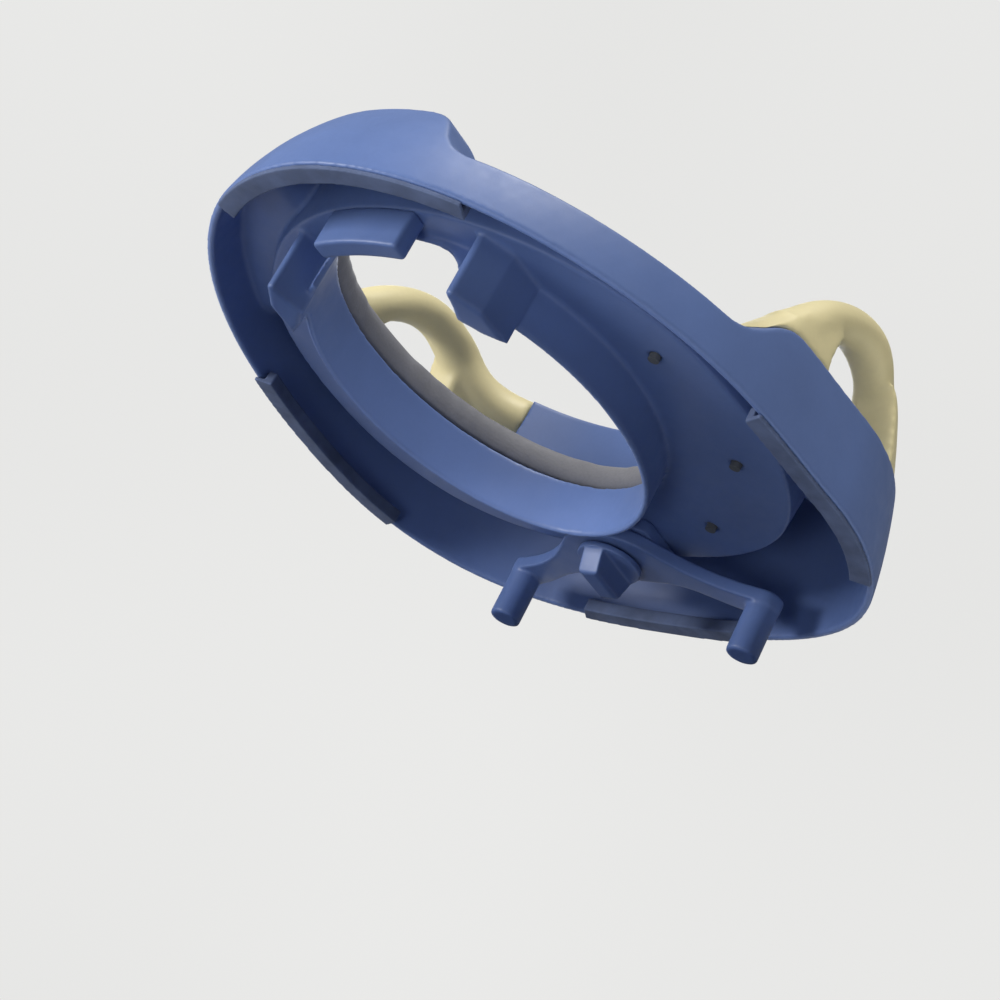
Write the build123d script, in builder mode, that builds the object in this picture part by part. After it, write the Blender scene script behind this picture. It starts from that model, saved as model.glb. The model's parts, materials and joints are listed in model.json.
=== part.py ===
"""Toddler training seat that sits on an adult toilet seat ring.

Millimetres, +Z up.  The seat rests on the adult ring at z = 0.  x = 0 is the plane of symmetry,
y = 0 is the middle of the child's opening, the sitter faces -Y and +X is the sitter's left.
The files are written with their origin on the foot of the rear grip strip.
"""
from build123d import *
import math
import os

os.makedirs("parts", exist_ok=True)

# ---------------------------------------------------------------- driving dimensions
# overall seat
seat_half_width = 150.0          # at the foot of the outer wall
seat_front = -146.0              # front of the outer wall at the foot
seat_rear = 190.0                # rear of the outer wall at the foot
seat_widest_y = 60.0             # where the outer wall is widest
wall = 3.0                       # moulded wall
foot_gap = 2.0                   # the wall's lower edge stands this far above the adult ring

# the outer wall leans in as it rises
lean_height = 90.0               # height at which the lean below is measured
shoulder_height = 30.0           # the wall is nearly upright below this
lean_side = 15.0
lean_front = 58.0
lean_rear = 44.0
shoulder_share = 0.155           # part of the lean taken up at shoulder_height

# heights of the rim
guard_top = 50.5                 # splash guard
guard_back = -104.0              # the guard's crest ends here in side view
guard_half_crest = 22.0          # and here in front view
guard_half_foot = 60.0
waist_top = 25.0                 # low stretch beside the thighs
waist_front = -80.0
waist_back = -34.0
side_front = 12.0                # the handle stretch begins here in side view
side_top = 46.5                  # handle stretch
rear_top = 84.0                  # low back
back_joint = (97.0, 134.0)       # the back's end faces pass through here, plan view
back_joint_turn = 27.0           # and are turned by this from straight across the seat

# child's opening and its tube
opening_half_width = 73.0
opening_front = -92.0
opening_rear = 93.0
tube_foot = -7.5
tube_lip = 19.0
notch_half_width = 38.0          # cut in the front of the tube
notch_height = 18.0
notch_radius = 12.0

# pan that carries the pad
floor_top = 17.0
pan_half_width = 118.0
pan_front = -104.0
pan_rear = 136.0
pan_widest_y = 22.0
pan_lean = 7.0                   # the pan widens by this at lean_height
pan_front_lean = 15.0            # and its front, the guard's inner face, leans this much
pad_gap = 1.5
pad_top = 36.0
pad_edge_radius = 2.5
peg_inset = 18.0                 # pegs inside the pan's outline
peg_diameter = 5.0
peg_angles = (15, 60, 120, 165, 200, 340)
backing_thickness = 1.8

# handles
grip_width = 22.0                # section of the grip, across the seat
grip_height = 18.0
grip_peak = 99.0                 # top of the grip
grip_inset = 11.5                # grip centre inside the outer wall
root_outer = 1.5                 # the grip's roots are walls between these insets
root_inner = 20.0
grip_foot_y = -2.0               # the grip's middle line starts here, this far under the rim
grip_foot_drop = 12.0
grip_rise_y = 15.0               # leaves the rim here
grip_rise = 9.0
grip_bend_y = 33.0               # bends over here, this far under its crest
grip_bend_drop = 15.0
grip_crest_y = 68.0              # is level here
grip_fall_y = 105.0              # and comes down to the back from here
grip_fall_rise = 4.0
front_toe_y = -14.0              # the front root runs from here
front_heel_y = 33.0              # to here
rear_toe_y = 94.0                # the rear root starts here
root_sink = 6.0                  # the roots' profiles reach this far under the rim
tenon_inset = 11.5               # tenon centre inside the outer wall
handle_front_y = 22.0            # tenons
handle_rear_y = 112.0
tenon_diameter = 12.0
tenon_length = 13.0
handle_screw = 4.0
handle_screw_length = 12.0
handle_head = 9.0
socket_floor = 2.5
fit_clearance = 0.15             # on the radius of a plugged fit
joint_gap = 0.15                 # face gap at an assembled joint

# front stop and lugs
stop_half_width = 23.0
stop_front = -107.0
stop_rear = -97.5
stop_foot = -4.5
stop_screw_depth = 9.0
stop_screw_x = 14.0
stop_screw_setback = 4.0         # behind the pan's front edge
front_arc_radius = 110.0
lug_foot = -17.0
lug_plan = [(48, -92), (51, -92), (59, -79), (60, -60), (42, -72), (46, -83)]

# rear lock
post_diameter = 15.5
post_collar = 0.4                # the arm's end stands out this much round the post
post_x = 70.0
post_y = 153.5
post_foot = -25.0
hub_y = 124.0
hub_radius = 19.0
arm_width = 17.0
arm_front_root = 4.0             # where the arms' edges leave the hub
arm_rear_root = 2.0
arm_middle_x = 30.0              # the arms' edges also pass through points at this x
arm_front_drop = 3.0
bracket_foot = 0.6
bracket_thickness = 7.0
slide_forward = 6.0              # travel towards the opening
slide_back = 14.0                # travel towards the hinge, short of the outer wall
guide_half_width = 24.0
guide_plate_thickness = 2.4
slot_width = 6.4
screw_diameter = 5.0
nut_side = 11.0
nut_thickness = 3.2
running_gap = 0.2
screw_play = 0.08                # on the radius, shank in its hole
guide_screw_depth = 4.5
guide_screw_inset = 5.0
guide_screw_setback = 7.0        # in front of the pan's rear edge
washer_radius = 9.0
washer_thickness = 1.0
hex_head = 9.0                   # across corners
hex_depth = 3.5

knob_radius = 16.0
knob_disc = 3.0
knob_depth = 15.0                # from the disc's top to the tip of the blade
blade_thickness = 11.0

# small screws
small_screw = 3.0
small_head = 5.4
small_head_height = 1.8

# grip strips
strip_width = 10.0
strip_height = 7.0
strip_clearance = 2.2            # behind the wall, which leans in a little
side_strip_span = 46.0           # degrees of the outline
front_strip_span = 40.0
rear_strip_span = 44.0

EGG_POWER = 2.0                  # front half of an outline is an ellipse
REAR_POWER = 2.6                 # rear half is squarer
OUTLINE_STEPS = 16

over_cut = 5.0                   # cutting bodies reach this far past what they cut

# worked out
floor_foot = floor_top - wall
socket_foot = side_top - tenon_length - joint_gap - socket_floor
hub_top = bracket_foot + bracket_thickness
guide_foot = hub_top + running_gap
guide_floor = guide_foot + guide_plate_thickness


# ---------------------------------------------------------------- outlines
def outline_point(half_width, front, widest_y, rear, angle):
    """Point of a seat outline.  angle runs from 0 at +X through 90 at the rear."""
    c = math.cos(math.radians(angle))
    s = math.sin(math.radians(angle))
    power = REAR_POWER if s > 0 else EGG_POWER
    reach = (rear - widest_y) if s > 0 else (widest_y - front)
    x = half_width * math.copysign(abs(c) ** (2 / power), c)
    y = widest_y + reach * math.copysign(abs(s) ** (2 / power), s)
    return (x, y)


def outline_half_width(half_width, front, widest_y, rear, y):
    """Half-width of an outline at a given y."""
    power = REAR_POWER if y > widest_y else EGG_POWER
    reach = (rear - widest_y) if y > widest_y else (widest_y - front)
    return half_width * (1 - (abs(y - widest_y) / reach) ** power) ** (1 / power)


def egg(half_width, front, widest_y, rear):
    """Closed outline as one smooth spline."""
    angles = [i * 360 / OUTLINE_STEPS for i in range(OUTLINE_STEPS)]
    points = [outline_point(half_width, front, widest_y, rear, angle) for angle in angles]
    with BuildSketch() as face:
        with BuildLine():
            Spline(*points, periodic=True)
        make_face()
    return face.sketch


def opening_outline(grow=0.0):
    """Child's opening, two half ellipses about y = 0, larger by grow all round."""
    half = opening_half_width + grow
    with BuildSketch() as face:
        with BuildLine():
            EllipticalCenterArc((0, 0), half, opening_rear + grow, 0, arc_size=180)
            EllipticalCenterArc((0, 0), half, grow - opening_front, 180, arc_size=180)
        make_face()
    return face.sketch


def outer_body(inset, foot, name):
    """Solid bounded by the outer wall, inset all round, from foot up to lean_height."""
    with BuildPart() as body:
        for z, share in ((foot, 0.0), (shoulder_height, shoulder_share), (lean_height, 1.0)):
            with BuildSketch(Plane.XY.offset(z)):
                add(egg(
                    seat_half_width - inset - lean_side * share,
                    seat_front + inset + lean_front * share,
                    seat_widest_y,
                    seat_rear - inset - lean_rear * share,
                ))
        loft()
    body.part.label = name
    return body.part


def pan_body(grow, floor, name):
    """Solid that fills the pan, grown all round, from its floor up past lean_height."""
    with BuildPart() as body:
        for z, share in ((floor, 0.0), (lean_height + wall, 1.0)):
            with BuildSketch(Plane.XY.offset(z)):
                add(egg(
                    pan_half_width + grow + pan_lean * share,
                    pan_front - grow - pan_front_lean * share,
                    pan_widest_y,
                    pan_rear + grow + pan_lean * share,
                ))
        loft()
    body.part.label = name
    return body.part


def back_corners(shift):
    """Plan of the low back between its two end faces, made smaller by shift."""
    reach = 60.0
    turn = math.radians(back_joint_turn)
    along = (math.sin(turn), math.cos(turn))
    x = back_joint[0] - shift * along[1]
    y = back_joint[1] + shift * along[0]
    inner = (x - reach * along[0], y - reach * along[1])
    outer = (x + reach * along[0], y + reach * along[1])
    return [inner, outer, (-outer[0], outer[1]), (-inner[0], inner[1])]


def above_rim(drop, name):
    """Everything above the rim line, lowered and drawn in by drop."""
    far = 400.0
    tall = 300.0
    with BuildPart() as body:
        with BuildSketch(Plane.YZ):
            with BuildLine():
                Line((-far, guard_top), (guard_back, guard_top))
                Spline((guard_back, guard_top), (waist_front, waist_top), tangents=((1, 0), (1, 0)))
                Line((waist_front, waist_top), (waist_back, waist_top))
                Spline((waist_back, waist_top), (side_front, side_top), tangents=((1, 0), (1, 0)))
                Line((side_front, side_top), (far, side_top))
                Line((far, side_top), (far, tall))
                Line((far, tall), (-far, tall))
                Line((-far, tall), (-far, guard_top))
            make_face()
        extrude(amount=far / 2, both=True)
        # the low back stands up between its two end faces
        with BuildSketch(Plane.XY.offset(side_top - over_cut)):
            with BuildLine():
                Polyline(*back_corners(drop), close=True)
            make_face()
        extrude(amount=rear_top - side_top + over_cut, mode=Mode.SUBTRACT)
        # the guard falls away to both sides
        for side in (1, -1):
            with BuildSketch(Plane.XZ.offset(-waist_front)):
                with BuildLine():
                    Spline(
                        (side * guard_half_crest, guard_top),
                        (side * guard_half_foot, waist_top),
                        tangents=((side, 0), (side, 0)),
                    )
                    Line((side * guard_half_foot, waist_top), (side * far, waist_top))
                    Line((side * far, waist_top), (side * far, tall))
                    Line((side * far, tall), (side * guard_half_crest, tall))
                    Line((side * guard_half_crest, tall), (side * guard_half_crest, guard_top))
                make_face()
            extrude(amount=far)
    body.part.label = name
    return body.part.moved(Location((0, 0, -drop)))


# ---------------------------------------------------------------- places shared by several pieces
def lean_share(z):
    """Part of the outer wall's lean that is taken up at height z."""
    if z < shoulder_height:
        return shoulder_share * (z - foot_gap) / (shoulder_height - foot_gap)
    return shoulder_share + (1 - shoulder_share) * (z - shoulder_height) / (lean_height - shoulder_height)


def wall_x(y, z, inset):
    """x of the outer wall, inset, at a given y and z."""
    share = lean_share(z)
    return outline_half_width(
        seat_half_width - inset - lean_side * share,
        seat_front + inset + lean_front * share,
        seat_widest_y,
        seat_rear - inset - lean_rear * share,
        y,
    )


handle_front_x = wall_x(handle_front_y, side_top, tenon_inset)
handle_rear_x = wall_x(handle_rear_y, side_top, tenon_inset)
handle_roots = [
    (side * x, y) for side in (1, -1)
    for x, y in ((handle_front_x, handle_front_y), (handle_rear_x, handle_rear_y))
]
stop_screws = [(x, pan_front + stop_screw_setback) for x in (-stop_screw_x, stop_screw_x)]
guide_front = hub_y - slide_forward - nut_side
guide_rear = hub_y + slide_back + nut_side
guide_screw_x = guide_half_width - guide_screw_inset
guide_screw_rows = (guide_front + guide_screw_inset, pan_rear - guide_screw_setback)
guide_screws = [(x, y) for x in (-guide_screw_x, guide_screw_x) for y in guide_screw_rows]
pegs = [
    outline_point(pan_half_width - peg_inset, opening_front, pan_widest_y, pan_rear - peg_inset, angle)
    for angle in peg_angles
]


# ---------------------------------------------------------------- seat shell
rim_cut = above_rim(0, "rim cut")
pan = pan_body(0, floor_top, "pan")

# space under the shell, between the outer wall, the pan and the tube
with BuildPart() as hollow:
    add(outer_body(wall, foot_gap - over_cut, "hollow skin"))
    add(above_rim(wall, "inside rim cut"), mode=Mode.SUBTRACT)
    add(pan_body(wall, floor_foot, "pan skin"), mode=Mode.SUBTRACT)
    with BuildSketch(Plane.XY.offset(tube_foot - over_cut)):
        add(opening_outline(wall))
    extrude(amount=tube_lip - tube_foot + over_cut, mode=Mode.SUBTRACT)

with BuildPart() as seat_shell:
    add(outer_body(0, foot_gap, "outer body"))
    add(rim_cut, mode=Mode.SUBTRACT)
    add(pan, mode=Mode.SUBTRACT)
    add(hollow.part, mode=Mode.SUBTRACT)
    # tube round the opening, with its lip above the pan's floor
    with BuildSketch(Plane.XY.offset(tube_foot)):
        add(opening_outline(wall))
    extrude(amount=tube_lip - tube_foot)
    # wedge lugs beside the front notch
    for side in (1, -1):
        with BuildSketch(Plane.XY.offset(lug_foot)):
            with BuildLine():
                Polyline(*[(side * x, y) for x, y in lug_plan], close=True)
            make_face()
        extrude(amount=floor_foot - lug_foot)
    # bosses for the handle tenons
    with BuildSketch(Plane.XY.offset(socket_foot)):
        with Locations(*handle_roots):
            Circle(tenon_diameter / 2 + wall)
    extrude(amount=side_top - wall - socket_foot)
    # the opening, the notch in the tube's front and the tenon sockets
    with BuildSketch(Plane.XY.offset(lug_foot - 1)):
        add(opening_outline())
    extrude(amount=tube_lip - lug_foot + 2, mode=Mode.SUBTRACT)
    with BuildSketch(Plane.XZ.offset(-opening_front * 0.6)):
        with Locations((0, tube_foot)):
            RectangleRounded(2 * notch_half_width, 2 * notch_height, notch_radius)
    extrude(amount=-opening_front * 0.4 + wall + 1, mode=Mode.SUBTRACT)
    with BuildSketch(Plane.XY.offset(socket_foot + socket_floor)):
        with Locations(*handle_roots):
            Circle(tenon_diameter / 2 + fit_clearance)
    extrude(amount=side_top - socket_foot, mode=Mode.SUBTRACT)
    with BuildSketch(Plane.XY.offset(socket_foot - 1)):
        with Locations(*handle_roots):
            Circle(handle_screw / 2 + fit_clearance)
    extrude(amount=socket_floor + 2, mode=Mode.SUBTRACT)
    # screw holes in the pan's floor and peg holes for the pad's backing
    with BuildSketch(Plane.XY.offset(floor_foot - 1)):
        with Locations(*stop_screws, *guide_screws):
            Circle(small_screw / 2 + fit_clearance)
        with Locations(*pegs):
            Circle(peg_diameter / 2 + fit_clearance)
    extrude(amount=wall + 2, mode=Mode.SUBTRACT)
seat_shell.part.label = "seat_shell"


# ---------------------------------------------------------------- pad and its backing
def pan_ring(foot, top, outer_gap, inner_grow):
    """Ring between the opening and the pan's wall."""
    with BuildPart() as ring:
        with BuildSketch(Plane.XY.offset(foot)):
            add(egg(pan_half_width - outer_gap, pan_front + outer_gap, pan_widest_y, pan_rear - outer_gap))
            add(opening_outline(inner_grow), mode=Mode.SUBTRACT)
        extrude(amount=top - foot)
    return ring.part


backing_top = floor_top + joint_gap + backing_thickness
with BuildPart() as pad_backing:
    add(pan_ring(floor_top + joint_gap, backing_top, pad_gap, wall + 0.3))
    # snap pegs that hold the pad down
    with BuildSketch(Plane.XY.offset(floor_foot - 2)):
        with Locations(*pegs):
            Circle(peg_diameter / 2)
    extrude(amount=wall + 2.5)
    # windows over the screw heads
    with BuildSketch(Plane.XY.offset(floor_top)):
        with Locations(*stop_screws, *guide_screws):
            Circle(small_head / 2 + 0.5)
    extrude(amount=backing_thickness + 1, mode=Mode.SUBTRACT)
pad_backing.part.label = "pad_backing"

with BuildPart() as soft_pad:
    add(pan_ring(tube_lip + joint_gap, pad_top, pad_gap, 0))
    fillet(soft_pad.edges().group_by(Axis.Z)[-1], pad_edge_radius)
soft_pad.part.label = "soft_pad"


# ---------------------------------------------------------------- handles
above_joint = above_rim(-joint_gap, "above the handle joint")
with BuildPart() as root_wall:
    add(outer_body(root_outer, foot_gap, "root outside"))
    add(outer_body(root_inner, foot_gap, "root inside"), mode=Mode.SUBTRACT)


def handle(side):
    """Grip that rises from the rim in front, arches over the finger gap and runs into the back.

    Its two tenons plug into the shell's rim.
    """
    middle = grip_peak - grip_height / 2
    back = rear_top - grip_height / 2
    route = [
        (grip_foot_y, side_top - grip_foot_drop),
        (grip_rise_y, side_top + grip_rise),
        (grip_bend_y, middle - grip_bend_drop),
        (grip_crest_y, middle),
        (grip_fall_y, back + grip_fall_rise),
        (back_joint[1], back - 0.5),
        (back_joint[1] + 4, back - 1.5),
    ]
    tenons = [(side * handle_front_x, handle_front_y), (side * handle_rear_x, handle_rear_y)]
    with BuildPart() as grip:
        # the two roots
        with BuildSketch(Plane.YZ):
            with BuildLine():
                Spline((front_toe_y, side_top - 14), (front_toe_y + 10, side_top - 2), (10, side_top + 15))
                Line((10, side_top + 15), (grip_bend_y - 3, middle - 17))
                Line((grip_bend_y - 3, middle - 17), (front_heel_y + 5, middle - 20))
                Spline(
                    (front_heel_y + 5, middle - 20),
                    (front_heel_y, side_top + grip_rise),
                    (front_heel_y, side_top - root_sink),
                )
                Line((front_heel_y, side_top - root_sink), (front_toe_y, side_top - 14))
            make_face()
            with BuildLine():
                Spline(
                    (rear_toe_y, side_top - root_sink),
                    (rear_toe_y - 2, side_top + 14),
                    (rear_toe_y - 10, middle - 8),
                )
                Line((rear_toe_y - 10, middle - 8), (120, back - 1))
                Line((120, back - 1), (back_joint[1] + 30, back - 1))
                Line((back_joint[1] + 30, back - 1), (back_joint[1] + 30, side_top - root_sink))
                Line((back_joint[1] + 30, side_top - root_sink), (rear_toe_y, side_top - root_sink))
            make_face()
        extrude(amount=side * seat_half_width)
        add(root_wall.part, mode=Mode.INTERSECT)
        # the grip itself
        with BuildLine() as path:
            Spline(*[(side * wall_x(y, z, grip_inset), y, z) for y, z in route])
        with BuildSketch(Plane(path.line @ 0, x_dir=(1, 0, 0), z_dir=path.line % 0)):
            Ellipse(grip_width / 2, grip_height / 2)
        sweep(path=path.line, is_frenet=True)
        add(above_joint, mode=Mode.INTERSECT)
        with BuildSketch(Plane.XY.offset(side_top - tenon_length)):
            with Locations(*tenons):
                Circle(tenon_diameter / 2)
        extrude(amount=tenon_length + 2 * joint_gap)
        # pilot holes for the handle screws
        with BuildSketch(Plane.XY.offset(side_top - tenon_length)):
            with Locations(*tenons):
                Circle(handle_screw / 2)
        extrude(amount=handle_screw_length, mode=Mode.SUBTRACT)
    return grip.part


handle_left = handle(1)
handle_left.label = "handle_left"
handle_right = handle(-1)
handle_right.label = "handle_right"


# ---------------------------------------------------------------- screws
def screws(places, seat, shank, length, head, head_height, up):
    """Group of identical screws.  up is +1 when the shank points up from the head."""
    with BuildPart() as group:
        for x, y in places:
            with BuildSketch(Plane.XY.offset(seat)):
                with Locations((x, y)):
                    Circle(head / 2)
            extrude(amount=-up * head_height)
            with BuildSketch(Plane.XY.offset(seat)):
                with Locations((x, y)):
                    Circle(shank / 2)
            extrude(amount=up * length)
            with BuildSketch(Plane.XY.offset(seat - up * head_height)):
                with Locations((x, y)):
                    RegularPolygon(head * 0.24, 6)
            extrude(amount=up * head_height * 0.6, mode=Mode.SUBTRACT)
    return group.part


handle_screws = screws(
    handle_roots, socket_foot, handle_screw, socket_floor + handle_screw_length - 1, handle_head, 3.0, 1
)
handle_screws.label = "handle_screws"


# ---------------------------------------------------------------- front stop
def front_arc(y, x):
    """y of an arc through (0, y) that is concentric with the seat's round front."""
    return y + front_arc_radius - math.sqrt(front_arc_radius ** 2 - x ** 2)


with BuildPart() as front_stop:
    with BuildSketch(Plane.XY.offset(stop_foot)):
        with BuildLine():
            outer = ThreePointArc(
                (-stop_half_width, front_arc(stop_front, stop_half_width)),
                (0, stop_front),
                (stop_half_width, front_arc(stop_front, stop_half_width)),
            )
            inner = ThreePointArc(
                (-stop_half_width, front_arc(stop_rear, stop_half_width)),
                (0, stop_rear),
                (stop_half_width, front_arc(stop_rear, stop_half_width)),
            )
            Line(outer @ 0, inner @ 0)
            Line(outer @ 1, inner @ 1)
        make_face()
    extrude(amount=floor_foot - joint_gap - stop_foot)
    fillet(front_stop.edges().filter_by(Axis.Z), 2.0)
    fillet(front_stop.edges().group_by(Axis.Z)[0], 1.2)
    with BuildSketch(Plane.XY.offset(floor_foot - stop_screw_depth)):
        with Locations(*stop_screws):
            Circle(small_screw / 2)
    extrude(amount=stop_screw_depth, mode=Mode.SUBTRACT)
front_stop.part.label = "front_stop"

stop_screw_set = screws(
    stop_screws, floor_top, small_screw, stop_screw_depth + wall - 1, small_head, small_head_height, -1
)
stop_screw_set.label = "front_stop_screws"


# ---------------------------------------------------------------- rear guide and its screws
with BuildPart() as guide_plate:
    with BuildSketch(Plane.XY.offset(guide_foot)):
        with Locations((0, (guide_front + guide_rear) / 2)):
            RectangleRounded(2 * guide_half_width, guide_rear - guide_front, 6)
    extrude(amount=floor_foot - joint_gap - guide_foot)
    # channel for the nut, open at the top, and the slot for the lock screw
    with BuildSketch(Plane.XY.offset(guide_floor)):
        with Locations((0, (guide_front + guide_rear) / 2)):
            Rectangle(nut_side + 2 * running_gap, guide_rear - guide_front - 6)
    extrude(amount=floor_foot - guide_floor, mode=Mode.SUBTRACT)
    with BuildSketch(Plane.XY.offset(guide_foot)):
        with Locations((0, hub_y + (slide_back - slide_forward) / 2)):
            SlotOverall(slot_width + slide_forward + slide_back + 1, slot_width, rotation=90)
    extrude(amount=guide_plate_thickness, mode=Mode.SUBTRACT)
    with BuildSketch(Plane.XY.offset(floor_foot - joint_gap)):
        with Locations(*guide_screws):
            Circle(small_screw / 2)
    extrude(amount=-guide_screw_depth, mode=Mode.SUBTRACT)
guide_plate.part.label = "guide_plate"

guide_screw_set = screws(
    guide_screws, floor_top, small_screw, guide_screw_depth + wall - 1, small_head, small_head_height, -1
)
guide_screw_set.label = "guide_screws"


# ---------------------------------------------------------------- lock bracket
with BuildPart() as lock_bracket:
    with BuildSketch(Plane.XY.offset(bracket_foot)):
        with Locations((0, hub_y)):
            Circle(hub_radius)
        for side in (1, -1):
            with BuildLine():
                front_edge = Spline(
                    (side * arm_front_root, hub_y - hub_radius),
                    (side * arm_middle_x, hub_y - arm_front_drop),
                    (side * post_x, post_y - arm_width / 2),
                    tangents=((side, 0), (side, 0.25)),
                )
                rear_edge = Spline(
                    (side * arm_rear_root, hub_y + hub_radius),
                    (side * arm_middle_x, hub_y + hub_radius),
                    (side * post_x, post_y + post_diameter / 2),
                    tangents=((side, 0), (side, 0.25)),
                )
                Line(front_edge @ 0, rear_edge @ 0)
                Line(front_edge @ 1, rear_edge @ 1)
            make_face()
        with Locations((-post_x, post_y), (post_x, post_y)):
            Circle(post_diameter / 2 + post_collar)
    extrude(amount=bracket_thickness)
    with BuildSketch(Plane.XY.offset(post_foot)):
        with Locations((-post_x, post_y), (post_x, post_y)):
            Circle(post_diameter / 2)
    extrude(amount=bracket_foot - post_foot)
    fillet(lock_bracket.edges().group_by(Axis.Z)[0], 1.0)
    with BuildSketch(Plane.XY.offset(bracket_foot)):
        with Locations((0, hub_y)):
            Circle(screw_diameter / 2 + screw_play)
    extrude(amount=bracket_thickness, mode=Mode.SUBTRACT)
lock_bracket.part.label = "lock_bracket"


# ---------------------------------------------------------------- knob, screw, washer and nut
washer_top = bracket_foot - joint_gap
washer_foot = washer_top - washer_thickness
knob_top = washer_foot - joint_gap
nut_foot = guide_floor + running_gap
screw_tip = nut_foot + nut_thickness

with BuildPart() as knob_washer:
    with BuildSketch(Plane.XY.offset(washer_foot)):
        with Locations((0, hub_y)):
            Circle(washer_radius)
            Circle(screw_diameter / 2 + screw_play, mode=Mode.SUBTRACT)
    extrude(amount=washer_thickness)
knob_washer.part.label = "knob_washer"

with BuildPart() as lock_knob:
    with BuildSketch(Plane.XY.offset(knob_top - knob_disc)):
        with Locations((0, hub_y)):
            Circle(knob_radius)
    extrude(amount=knob_disc)
    # blade with round ends that fingers turn
    with BuildSketch(Plane.YZ.offset(-blade_thickness / 2)):
        with BuildLine():
            root = knob_radius - 1
            tip = knob_radius - 5
            blade_top = Line((hub_y - root, knob_top - knob_disc), (hub_y + root, knob_top - knob_disc))
            blade_foot = Line((hub_y - tip, knob_top - knob_depth), (hub_y + tip, knob_top - knob_depth))
            Line(blade_top @ 0, blade_foot @ 0)
            Line(blade_top @ 1, blade_foot @ 1)
        make_face()
    extrude(amount=blade_thickness)
    fillet(lock_knob.edges().group_by(Axis.Z)[0], 2.0)
    # seat for the screw's hexagon head
    with BuildSketch(Plane.XY.offset(knob_top)):
        with Locations((0, hub_y)):
            RegularPolygon(hex_head / 2 + fit_clearance, 6)
    extrude(amount=-hex_depth, mode=Mode.SUBTRACT)
lock_knob.part.label = "lock_knob"

with BuildPart() as lock_screw:
    with BuildSketch(Plane.XY.offset(knob_top)):
        with Locations((0, hub_y)):
            RegularPolygon(hex_head / 2, 6)
    extrude(amount=-hex_depth + fit_clearance)
    with BuildSketch(Plane.XY.offset(knob_top)):
        with Locations((0, hub_y)):
            Circle(screw_diameter / 2)
    extrude(amount=screw_tip - knob_top)
    chamfer(lock_screw.edges().group_by(Axis.Z)[-1], 0.5)
lock_screw.part.label = "lock_screw"

with BuildPart() as lock_nut:
    with BuildSketch(Plane.XY.offset(nut_foot)):
        with Locations((0, hub_y)):
            Rectangle(nut_side, nut_side)
            Circle(screw_diameter / 2 + screw_play, mode=Mode.SUBTRACT)
    extrude(amount=nut_thickness)
    chamfer(lock_nut.edges().group_by(Axis.Z)[-1].filter_by(GeomType.LINE), 0.4)
lock_nut.part.label = "lock_nut"


# ---------------------------------------------------------------- grip strips under the wall
def grip_strip(middle, span):
    """Rubber strip that carries the wall's foot, along span degrees of the seat's outline.

    Its outer half lies under the wall and its inner half stands up behind the wall.
    """
    far = seat_rear * 2
    ends = [math.radians(middle + half) for half in (-span / 2, span / 2)]
    tips = [(far * math.cos(angle), seat_widest_y + far * math.sin(angle)) for angle in ends]
    behind = wall + strip_clearance
    front_skip = 1.4
    with BuildPart() as strip:
        for foot, top, skip in ((0, foot_gap - joint_gap, 0.5), (0, strip_height, behind)):
            with BuildSketch(Plane.XY.offset(foot)):
                add(egg(
                    seat_half_width - skip, seat_front + skip * front_skip, seat_widest_y, seat_rear - skip
                ))
                add(
                    egg(
                        seat_half_width - strip_width,
                        seat_front + strip_width,
                        seat_widest_y,
                        seat_rear - strip_width,
                    ),
                    mode=Mode.SUBTRACT,
                )
                with BuildLine():
                    Polyline((0, seat_widest_y), *tips, close=True)
                make_face(mode=Mode.INTERSECT)
            extrude(amount=top)
    return strip.part


strips = {
    "grip_strip_left": grip_strip(0, side_strip_span),
    "grip_strip_right": grip_strip(180, side_strip_span),
    "grip_strip_front": grip_strip(270, front_strip_span),
    "grip_strip_rear": grip_strip(90, rear_strip_span),
}
for name, strip in strips.items():
    strip.label = name


# ---------------------------------------------------------------- write the pieces
pieces = [
    seat_shell.part,
    pad_backing.part,
    soft_pad.part,
    handle_left,
    handle_right,
    handle_screws,
    front_stop.part,
    stop_screw_set,
    guide_plate.part,
    guide_screw_set,
    lock_bracket.part,
    knob_washer.part,
    lock_knob.part,
    lock_screw.part,
    lock_nut.part,
    *strips.values(),
]
# the files' origin is on the foot of the rear grip strip, where it lies on the adult ring
rest_y = seat_rear - strip_width / 2
for piece in pieces:
    placed = piece.moved(Location((0, -rest_y, 0)))
    placed.label = piece.label
    export_step(placed, f"parts/{placed.label}.step")
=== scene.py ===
"""Looks of the training seat: rounded plastic, soft pad, materials, stage, lights and camera.

Metres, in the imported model's frame: +Z up, the sitter faces -Y, +X is the sitter's left.
"""
import json
import math

import bmesh
import bpy
from mathutils import Matrix, Vector

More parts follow.
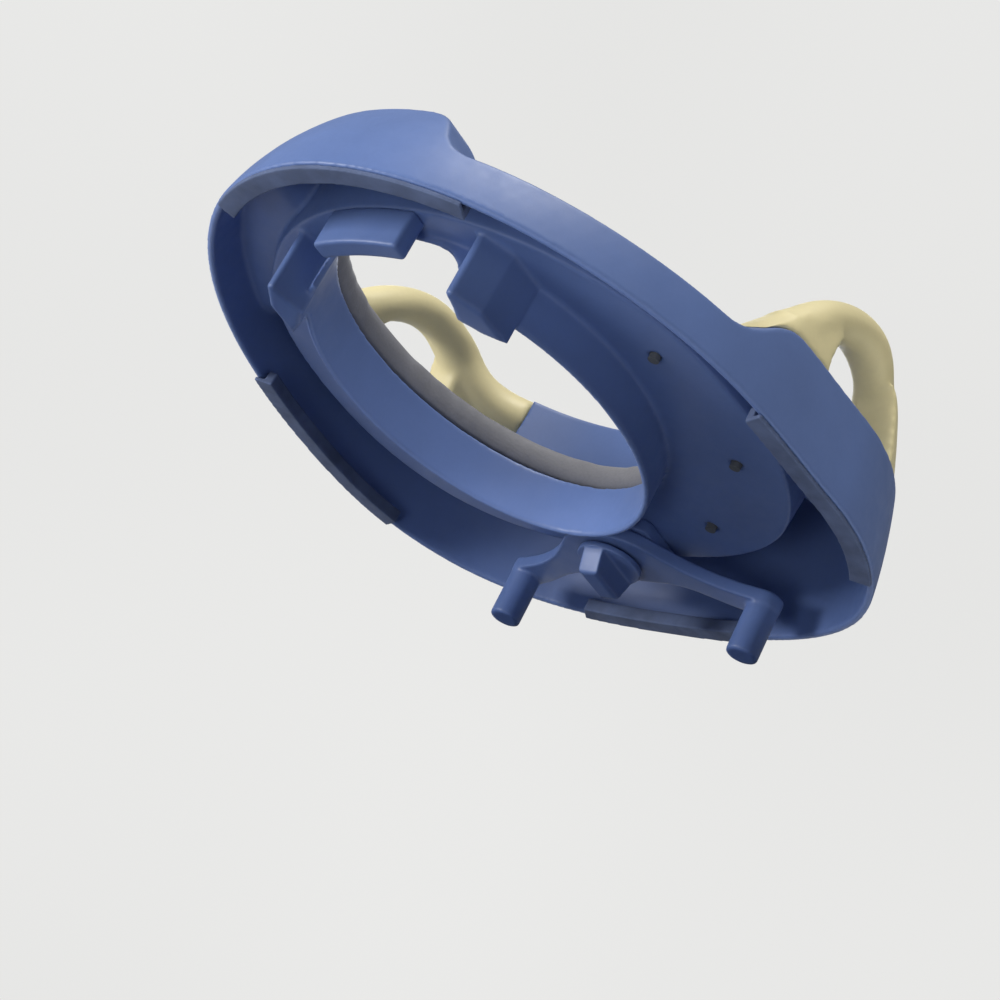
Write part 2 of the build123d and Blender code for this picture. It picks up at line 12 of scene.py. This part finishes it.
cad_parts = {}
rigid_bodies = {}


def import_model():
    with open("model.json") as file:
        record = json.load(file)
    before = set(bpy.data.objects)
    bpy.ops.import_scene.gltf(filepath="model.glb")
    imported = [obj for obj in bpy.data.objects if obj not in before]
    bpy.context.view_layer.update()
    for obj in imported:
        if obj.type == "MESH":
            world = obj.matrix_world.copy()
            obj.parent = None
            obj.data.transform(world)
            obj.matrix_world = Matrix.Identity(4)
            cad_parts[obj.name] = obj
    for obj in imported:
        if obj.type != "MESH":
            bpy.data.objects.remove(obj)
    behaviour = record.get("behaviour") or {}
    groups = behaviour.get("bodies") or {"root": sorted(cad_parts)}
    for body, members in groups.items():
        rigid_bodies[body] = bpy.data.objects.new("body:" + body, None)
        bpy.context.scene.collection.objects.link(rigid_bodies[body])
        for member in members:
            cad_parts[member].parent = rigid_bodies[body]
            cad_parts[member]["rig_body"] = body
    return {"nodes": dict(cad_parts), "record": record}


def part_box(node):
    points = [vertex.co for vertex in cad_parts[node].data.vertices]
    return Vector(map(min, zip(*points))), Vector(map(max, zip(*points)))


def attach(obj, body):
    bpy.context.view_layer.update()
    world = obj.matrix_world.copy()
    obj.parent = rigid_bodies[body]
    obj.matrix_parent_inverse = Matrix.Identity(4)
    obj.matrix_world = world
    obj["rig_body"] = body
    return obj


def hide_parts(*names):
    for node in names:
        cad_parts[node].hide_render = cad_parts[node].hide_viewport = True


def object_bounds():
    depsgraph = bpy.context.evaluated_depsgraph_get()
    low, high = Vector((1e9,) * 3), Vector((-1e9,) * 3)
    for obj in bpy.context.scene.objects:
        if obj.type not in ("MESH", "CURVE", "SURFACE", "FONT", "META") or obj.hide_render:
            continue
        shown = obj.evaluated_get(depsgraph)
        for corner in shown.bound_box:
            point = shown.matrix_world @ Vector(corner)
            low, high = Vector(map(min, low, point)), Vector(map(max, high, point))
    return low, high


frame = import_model()
cad_lo, cad_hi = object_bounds()
NODES = frame["nodes"]
MM = 0.001
WELD_DISTANCE = 0.002 * MM       # corners nearer than this are one corner
SMOOTH_FACTOR = 0.5
EDGE_SEGMENTS = 3
EDGE_ANGLE = math.radians(40)    # sharper edges than this get a small radius


# ---------------------------------------------------------------- small helpers
def link(name, mesh):
    """New object for a mesh, in the scene."""
    obj = bpy.data.objects.new(name, mesh)
    bpy.context.scene.collection.objects.link(obj)
    return obj


def applied(obj):
    """Replace an object's mesh by what its modifiers make of it."""
    bpy.context.view_layer.update()
    seen = obj.evaluated_get(bpy.context.evaluated_depsgraph_get())
    mesh = bpy.data.meshes.new_from_object(seen)
    obj.modifiers.clear()
    obj.data = mesh
    return obj


def smooth_shaded(mesh):
    """Smooth shading on every face."""
    for polygon in mesh.polygons:
        polygon.use_smooth = True


def welded_copy(node, name):
    """Copy of a CAD node's mesh, with its split edges joined again."""
    mesh = bpy.data.meshes.new(name)
    work = bmesh.new()
    work.from_mesh(NODES[node].data)
    bmesh.ops.remove_doubles(work, verts=work.verts, dist=WELD_DISTANCE)
    work.to_mesh(mesh)
    work.free()
    mesh.materials.clear()
    return link(name, mesh)


def softened(node, name, voxel, passes, keep):
    """Moulded piece that replaces a CAD node: the same solid with its edges rounded off."""
    piece = welded_copy(node, name)
    remesh = piece.modifiers.new("remesh", "REMESH")
    remesh.mode = "VOXEL"
    remesh.voxel_size = voxel
    remesh.use_smooth_shade = True
    soften = piece.modifiers.new("soften", "SMOOTH")
    soften.factor = SMOOTH_FACTOR
    soften.iterations = passes
    fewer = piece.modifiers.new("fewer", "DECIMATE")
    fewer.ratio = keep
    applied(piece)
    smooth_shaded(piece.data)
    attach(piece, NODES[node]["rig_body"])
    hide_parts(node)
    dressed(piece, NODE_SLOT[node])


def edged(node, width):
    """Small bright radius on a CAD node's sharp edges."""
    obj = NODES[node]
    weld = obj.modifiers.new("weld", "WELD")
    weld.merge_threshold = WELD_DISTANCE
    bevel = obj.modifiers.new("edges", "BEVEL")
    bevel.width = width
    bevel.segments = EDGE_SEGMENTS
    bevel.limit_method = "ANGLE"
    bevel.angle_limit = EDGE_ANGLE
    bevel.harden_normals = False
    normals = obj.modifiers.new("normals", "WEIGHTED_NORMAL")
    normals.keep_sharp = False
    smooth_shaded(obj.data)
    dressed(obj, NODE_SLOT[node])


# ---------------------------------------------------------------- materials
class Graph:
    """Shader graph of one material, in object coordinates."""

    def __init__(self, name):
        self.material = bpy.data.materials.new(name)
        self.material.use_nodes = True
        self.nodes = self.material.node_tree.nodes
        self.links = self.material.node_tree.links
        self.shader = self.nodes["Principled BSDF"]
        self.place = self.nodes.new("ShaderNodeTexCoord").outputs["Object"]

    def noise(self, size, detail=2.0, rough=0.5, place=None):
        """Noise with features of about size metres."""
        node = self.nodes.new("ShaderNodeTexNoise")
        node.inputs["Scale"].default_value = 1 / size
        node.inputs["Detail"].default_value = detail
        node.inputs["Roughness"].default_value = rough
        self.links.new(place or self.place, node.inputs["Vector"])
        return node.outputs["Fac"]

    def span(self, value, low_in, high_in, low_out, high_out):
        """Clamped linear map."""
        node = self.nodes.new("ShaderNodeMapRange")
        node.inputs["From Min"].default_value = low_in
        node.inputs["From Max"].default_value = high_in
        node.inputs["To Min"].default_value = low_out
        node.inputs["To Max"].default_value = high_out
        self.links.new(value, node.inputs["Value"])
        return node.outputs["Result"]

    def mix(self, share, low, high):
        """Mix of two colours, each a colour or a socket."""
        node = self.nodes.new("ShaderNodeMix")
        node.data_type = "RGBA"
        self.links.new(share, node.inputs["Factor"])
        a, b = [s for s in node.inputs if s.type == "RGBA"]
        for socket, colour in ((a, low), (b, high)):
            if isinstance(colour, bpy.types.NodeSocket):
                self.links.new(colour, socket)
            else:
                socket.default_value = (*colour, 1)
        return [s for s in node.outputs if s.type == "RGBA"][0]

    def bump(self, height, depth, under=None, strength=1.0):
        """Bump of a height field, over an earlier bump."""
        node = self.nodes.new("ShaderNodeBump")
        node.inputs["Strength"].default_value = strength
        node.inputs["Distance"].default_value = depth
        self.links.new(height, node.inputs["Height"])
        if under is not None:
            self.links.new(under, node.inputs["Normal"])
        return node.outputs["Normal"]

    def edge(self, low, high):
        """0 on flats, 1 on outer edges."""
        geometry = self.nodes.new("ShaderNodeNewGeometry")
        return self.span(geometry.outputs["Pointiness"], low, high, 0.0, 1.0)


def shade(colour, factor):
    """Colour made lighter or darker."""
    return tuple(min(1.0, c * factor) for c in colour)


def moulded(name, colour, roughness, wear=0.35, grain=0.45 * MM):
    """Satin injection-moulded plastic with a fine spark-eroded grain."""
    g = Graph(name)
    drift = g.span(g.noise(45 * MM, 3), 0.3, 0.7, 0.0, 1.0)
    body = g.mix(drift, shade(colour, 0.93), shade(colour, 1.05))
    fleck = g.span(g.noise(2.2 * MM, 2), 0.35, 0.65, 0.0, 0.10)
    body = g.mix(fleck, body, shade(colour, 0.80))
    worn = g.edge(0.53, 0.62)
    scuff = g.span(g.noise(6 * MM, 3), 0.42, 0.62, 0.15, 1.0)
    both = g.nodes.new("ShaderNodeMath")
    both.operation = "MULTIPLY"
    g.links.new(worn, both.inputs[0])
    g.links.new(scuff, both.inputs[1])
    part = g.span(both.outputs[0], 0.0, 1.0, 0.0, wear)
    g.links.new(g.mix(part, body, shade(colour, 1.45)), g.shader.inputs["Base Color"])
    rough = g.span(g.noise(9 * MM, 4, 0.6), 0.3, 0.7, roughness - 0.06, roughness + 0.07)
    g.links.new(rough, g.shader.inputs["Roughness"])
    low = g.bump(g.noise(30 * MM, 1), 0.12 * MM)
    fine = g.bump(g.noise(grain, 3, 0.65), 0.022 * MM, low)
    g.links.new(fine, g.shader.inputs["Normal"])
    g.shader.inputs["IOR"].default_value = 1.49
    return g.material


def foam_skin(name, colour):
    """Matt closed skin of a moulded foam pad: fine pebbling and a soft sheen."""
    g = Graph(name)
    drift = g.span(g.noise(38 * MM, 3), 0.3, 0.7, 0.0, 1.0)
    body = g.mix(drift, shade(colour, 0.90), shade(colour, 1.08))
    cells = g.nodes.new("ShaderNodeTexVoronoi")
    cells.feature = "SMOOTH_F1"
    cells.inputs["Scale"].default_value = 1 / (1.1 * MM)
    g.links.new(g.place, cells.inputs["Vector"])
    pits = g.span(cells.outputs["Distance"], 0.35, 0.75, 0.0, 0.22)
    g.links.new(g.mix(pits, body, shade(colour, 0.70)), g.shader.inputs["Base Color"])
    rough = g.span(g.noise(7 * MM, 3), 0.3, 0.7, 0.60, 0.74)
    g.links.new(rough, g.shader.inputs["Roughness"])
    low = g.bump(g.noise(12 * MM, 2), 0.25 * MM)
    pebble = g.bump(cells.outputs["Distance"], 0.09 * MM, low, 0.8)
    fine = g.bump(g.noise(0.35 * MM, 3), 0.03 * MM, pebble)
    g.links.new(fine, g.shader.inputs["Normal"])
    g.shader.inputs["Sheen Weight"].default_value = 0.18
    g.shader.inputs["Sheen Roughness"].default_value = 0.45
    return g.material


def rubber(name, colour):
    """Dull soft rubber with a dusty bloom on its edges."""
    g = Graph(name)
    drift = g.span(g.noise(14 * MM, 4), 0.3, 0.7, 0.0, 1.0)
    body = g.mix(drift, shade(colour, 0.8), shade(colour, 1.25))
    bloom = g.span(g.edge(0.51, 0.60), 0.0, 1.0, 0.0, 0.5)
    g.links.new(g.mix(bloom, body, shade(colour, 2.2)), g.shader.inputs["Base Color"])
    rough = g.span(g.noise(5 * MM, 3), 0.3, 0.7, 0.72, 0.88)
    g.links.new(rough, g.shader.inputs["Roughness"])
    fine = g.bump(g.noise(0.5 * MM, 4, 0.7), 0.05 * MM)
    g.links.new(fine, g.shader.inputs["Normal"])
    return g.material


def zinc(name, colour):
    """Zinc-plated steel: crystalline mottling and fine turning marks."""
    g = Graph(name)
    mottle = g.span(g.noise(1.6 * MM, 4, 0.7), 0.3, 0.7, 0.0, 1.0)
    g.links.new(g.mix(mottle, shade(colour, 0.85), shade(colour, 1.15)), g.shader.inputs["Base Color"])
    rough = g.span(g.noise(0.8 * MM, 3), 0.3, 0.7, 0.26, 0.42)
    g.links.new(rough, g.shader.inputs["Roughness"])
    fine = g.bump(g.noise(0.25 * MM, 2), 0.01 * MM)
    g.links.new(fine, g.shader.inputs["Normal"])
    g.shader.inputs["Metallic"].default_value = 1.0
    return g.material


SLOTS = {m["slot"]: tuple(m["base_color"][:3]) for m in frame["record"]["materials"]}
MATERIALS = {
    "shell_blue": moulded("blue plastic", SLOTS["shell_blue"], 0.44),
    "handle_yellow": moulded("yellow plastic", SLOTS["handle_yellow"], 0.46, wear=0.15),
    "pad_grey": foam_skin("grey foam skin", SLOTS["pad_grey"]),
    "screw_steel": zinc("zinc plate", SLOTS["screw_steel"]),
    "backing_grey": moulded("dark backing", SLOTS["backing_grey"], 0.55, wear=0.2),
    "strip_rubber": rubber("dull rubber", SLOTS["strip_rubber"]),
}
NODE_SLOT = {part["node"]: part["material_slot"] for part in frame["record"]["subparts"]}


def dressed(obj, slot):
    """Give a piece the material of a slot."""
    obj.data.materials.clear()
    obj.data.materials.append(MATERIALS[slot])


# ---------------------------------------------------------------- rigid pieces
# node, piece, voxel, smoothing passes, share of faces kept
SOFT_EDGED = (
    ("seat_shell", "shell_moulding", 0.95 * MM, 7, 0.45),
    ("handle_left", "grip_left", 1.0 * MM, 40, 0.5),
    ("handle_right", "grip_right", 1.0 * MM, 40, 0.5),
    ("lock_bracket", "bracket_moulding", 0.7 * MM, 9, 0.5),
    ("lock_knob", "knob_moulding", 0.45 * MM, 8, 0.5),
    ("front_stop", "stop_moulding", 0.6 * MM, 8, 0.5),
    ("guide_plate", "guide_moulding", 0.6 * MM, 5, 0.5),
    ("grip_strip_left", "strip_left", 0.6 * MM, 5, 0.5),
    ("grip_strip_right", "strip_right", 0.6 * MM, 5, 0.5),
    ("grip_strip_front", "strip_front", 0.6 * MM, 5, 0.5),
    ("grip_strip_rear", "strip_rear", 0.6 * MM, 5, 0.5),
)
for node, name, voxel, passes, keep in SOFT_EDGED:
    softened(node, name, voxel, passes, keep)

for node, width in (
    ("pad_backing", 0.3 * MM),
    ("handle_screws", 0.2 * MM),
    ("front_stop_screws", 0.15 * MM),
    ("guide_screws", 0.15 * MM),
    ("knob_washer", 0.15 * MM),
    ("lock_screw", 0.2 * MM),
    ("lock_nut", 0.2 * MM),
):
    edged(node, width)


# ---------------------------------------------------------------- soft pad
PAD_SHRINK = 0.9 * MM            # the pad starts this much inside its place, all round
PAD_VOXEL = 4.0 * MM
PAD_SWELL = 5.0 * MM             # no point moves further than this
PAD_BULGE = 0.25                 # share of the swelling that is let out sideways
PAD_PRESSURE = 4.0
PAD_STEPS = 20
PAD_FINE_VOXEL = 2.0 * MM
PAD_EASE = 2                     # smoothing passes before the swelling
PAD_QUALITY = 6


def pad():
    """Foam pad: a ring that swells from a slightly smaller one and is flat underneath."""
    low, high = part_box("soft_pad")
    piece = welded_copy("soft_pad", "pad_cushion")
    shrink = piece.modifiers.new("shrink", "REMESH")
    shrink.mode = "VOXEL"
    shrink.voxel_size = PAD_FINE_VOXEL
    inward = piece.modifiers.new("inward", "DISPLACE")
    inward.strength = -PAD_SHRINK
    inward.mid_level = 0.0
    coarse = piece.modifiers.new("coarse", "REMESH")
    coarse.mode = "VOXEL"
    coarse.voxel_size = PAD_VOXEL
    ease = piece.modifiers.new("ease", "SMOOTH")
    ease.factor = SMOOTH_FACTOR
    ease.iterations = PAD_EASE
    applied(piece)
    start = [v.co.copy() for v in piece.data.vertices]
    cloth = piece.modifiers.new("cloth", "CLOTH")
    cloth.settings.use_pressure = True
    cloth.settings.uniform_pressure_force = PAD_PRESSURE
    cloth.settings.effector_weights.gravity = 0
    cloth.settings.quality = PAD_QUALITY
    cloth.point_cache.frame_start = 1
    cloth.point_cache.frame_end = PAD_STEPS
    scene = bpy.context.scene
    for step in range(1, PAD_STEPS + 1):
        scene.frame_set(step)
    applied(piece)
    scene.frame_set(1)
    for vertex, home in zip(piece.data.vertices, start):
        move = vertex.co - home
        move.x *= PAD_BULGE
        move.y *= PAD_BULGE
        if move.length > PAD_SWELL:
            move = move.normalized() * PAD_SWELL
        vertex.co = home + move
        vertex.co.z = min(max(vertex.co.z, low.z), high.z)
    finer = piece.modifiers.new("finer", "SUBSURF")
    finer.levels = 1
    finer.render_levels = 1
    applied(piece)
    for vertex in piece.data.vertices:
        vertex.co.z = max(vertex.co.z, low.z)
    smooth_shaded(piece.data)
    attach(piece, "seat")
    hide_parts("soft_pad")
    dressed(piece, "pad_grey")


pad()


# ---------------------------------------------------------------- stage
MIDDLE = (cad_lo + cad_hi) / 2
FLOOR_DROP = 0.4 * MM
FLOOR_HALF = 6.0
BACKDROP_AWAY = 2.6
BACKDROP_HALF = 7.0


def plane(name, half, z):
    """Square stage plane that casts no shadow."""
    mesh = bpy.data.meshes.new(name)
    corners = [(x * half, y * half, z) for x, y in ((-1, -1), (1, -1), (1, 1), (-1, 1))]
    mesh.from_pydata(corners, [], [(0, 1, 2, 3)])
    obj = link(name, mesh)
    obj.visible_shadow = False
    return obj


def one_sided(obj, g, surface):
    """Show a surface on the plane's front and nothing on its back."""
    clear = g.nodes.new("ShaderNodeBsdfTransparent")
    facing = g.nodes.new("ShaderNodeNewGeometry")
    either = g.nodes.new("ShaderNodeMixShader")
    g.links.new(facing.outputs["Backfacing"], either.inputs[0])
    g.links.new(surface, either.inputs[1])
    g.links.new(clear.outputs[0], either.inputs[2])
    g.links.new(either.outputs[0], g.nodes["Material Output"].inputs["Surface"])
    obj.data.materials.append(g.material)


def floor():
    """Pale floor under the seat.  It is seen only from above and lets light through from below."""
    obj = plane("floor", FLOOR_HALF, cad_lo.z - FLOOR_DROP)
    g = Graph("pale floor")
    g.links.new(
        g.mix(g.span(g.noise(0.4, 2), 0.3, 0.7, 0.0, 1.0), (0.70, 0.70, 0.69), (0.76, 0.76, 0.75)),
        g.shader.inputs["Base Color"],
    )
    g.shader.inputs["Roughness"].default_value = 0.8
    one_sided(obj, g, g.shader.outputs[0])


def backdrop(way):
    """Plain pale backdrop far behind the seat, seen only from the seat's side."""
    obj = plane("backdrop", BACKDROP_HALF, 0)
    obj.rotation_mode = "QUATERNION"
    obj.rotation_quaternion = (-way).to_track_quat("Z", "Y")
    obj.location = MIDDLE + way * BACKDROP_AWAY
    g = Graph("pale backdrop")
    glow = g.nodes.new("ShaderNodeEmission")
    tone = g.mix(g.span(g.noise(1.5, 1), 0.3, 0.7, 0.0, 1.0), (0.78, 0.78, 0.77), (0.82, 0.82, 0.81))
    g.links.new(tone, glow.inputs["Color"])
    obj.visible_diffuse = False
    obj.visible_glossy = False
    one_sided(obj, g, glow.outputs[0])


floor()


WORLD_STRENGTH = 0.24
world = bpy.data.worlds.new("studio")
bpy.context.scene.world = world
world.use_nodes = True
world.node_tree.nodes["Background"].inputs["Color"].default_value = (0.84, 0.85, 0.86, 1)
world.node_tree.nodes["Background"].inputs["Strength"].default_value = WORLD_STRENGTH


def lamp(name, direction, distance, size, power, colour):
    """Soft square light aimed at the seat."""
    data = bpy.data.lights.new(name, "AREA")
    data.shape = "SQUARE"
    data.size = size
    data.energy = power
    data.color = colour
    obj = bpy.data.objects.new(name, data)
    bpy.context.scene.collection.objects.link(obj)
    way = Vector(direction).normalized()
    obj.location = MIDDLE + way * distance
    obj.rotation_mode = "QUATERNION"
    obj.rotation_quaternion = (-way).to_track_quat("-Z", "Y")
    obj.visible_camera = False


lamp("key", (-0.60, -1.0, -0.25), 1.7, 0.5, 19.0, (1.0, 0.985, 0.96))
lamp("low", (0.25, -0.75, -0.65), 1.9, 0.6, 5.0, (1.0, 0.99, 0.98))
lamp("top", (0.15, -0.45, 1.0), 1.7, 0.8, 22.0, (1.0, 0.99, 0.97))
lamp("rear", (-0.7, 0.8, 0.6), 1.8, 1.0, 8.0, (0.97, 0.98, 1.0))


# ---------------------------------------------------------------- camera
CAMERA_PLACE = Vector((0.61681, -0.78023, -0.41850))
CAMERA_AIM = Vector((-0.00930, -0.13619, -0.02112))
CAMERA_ROLL = math.radians(27.963)
CAMERA_LENS = 79.23
SENSOR = 36.0

camera_data = bpy.data.cameras.new("camera")
camera_data.lens = CAMERA_LENS
camera_data.sensor_width = SENSOR
camera = bpy.data.objects.new("camera", camera_data)
bpy.context.scene.collection.objects.link(camera)
camera.location = CAMERA_PLACE
camera.rotation_mode = "QUATERNION"
backdrop((CAMERA_AIM - CAMERA_PLACE).normalized())
look = (CAMERA_AIM - CAMERA_PLACE).to_track_quat("-Z", "Y")
camera.rotation_quaternion = look @ Matrix.Rotation(CAMERA_ROLL, 3, "Z").to_quaternion()
bpy.context.scene.camera = camera
bpy.context.scene.view_settings.view_transform = "Standard"
